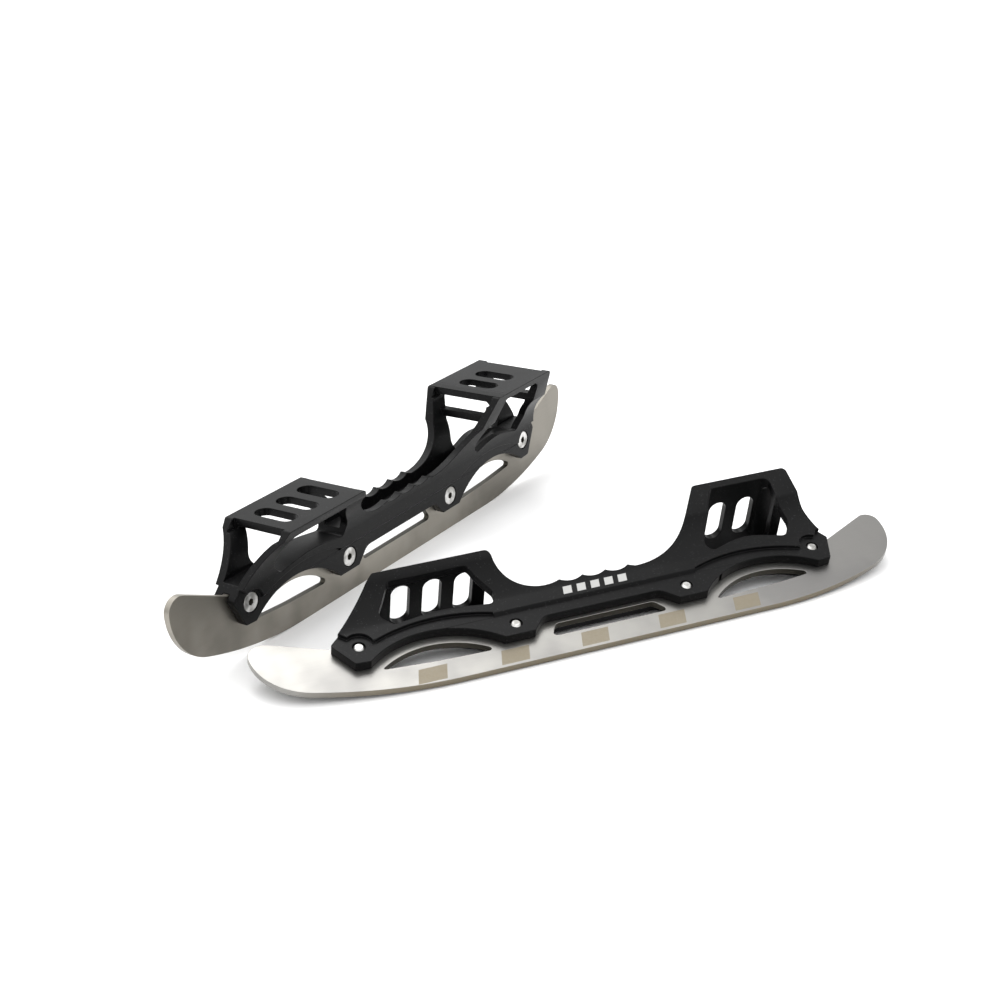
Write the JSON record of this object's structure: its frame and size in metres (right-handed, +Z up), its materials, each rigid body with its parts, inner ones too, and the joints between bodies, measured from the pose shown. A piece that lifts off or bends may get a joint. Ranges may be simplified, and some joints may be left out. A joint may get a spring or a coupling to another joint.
{
  "type": "pair of ice skate blade chassis",
  "caption": "Pair of bolt-on ice blade chassis: milled black frames with slotted boot decks, each clamping a curved steel blade with countersunk screws; one stands, one lies.",
  "frame": {"origin": "centre of the pair's bounding box, at the floor", "axes": "+Z up from the floor, +X to the right and +Y away from a viewer who sees both toes at the left; the upright right chassis points its heel 56.3 degrees round from +X towards +Y, the lying left one 21.4 degrees"},
  "size_m": [0.3268, 0.2756, 0.0673],
  "materials": {
    "anodised_black": "satin black anodised, bead blasted",
    "blade_steel": "ground and brushed stainless steel",
    "screw_steel": "satin stainless steel"
  },
  "bodies": {
    "root": {"left_blade": "blade_steel", "left_frame": "anodised_black", "left_screw_1": "screw_steel", "left_screw_2": "screw_steel", "left_screw_3": "screw_steel", "left_screw_4": "screw_steel", "right_blade": "blade_steel", "right_frame": "anodised_black", "right_screw_1": "screw_steel", "right_screw_2": "screw_steel", "right_screw_3": "screw_steel", "right_screw_4": "screw_steel"}
  },
  "joints": []
}
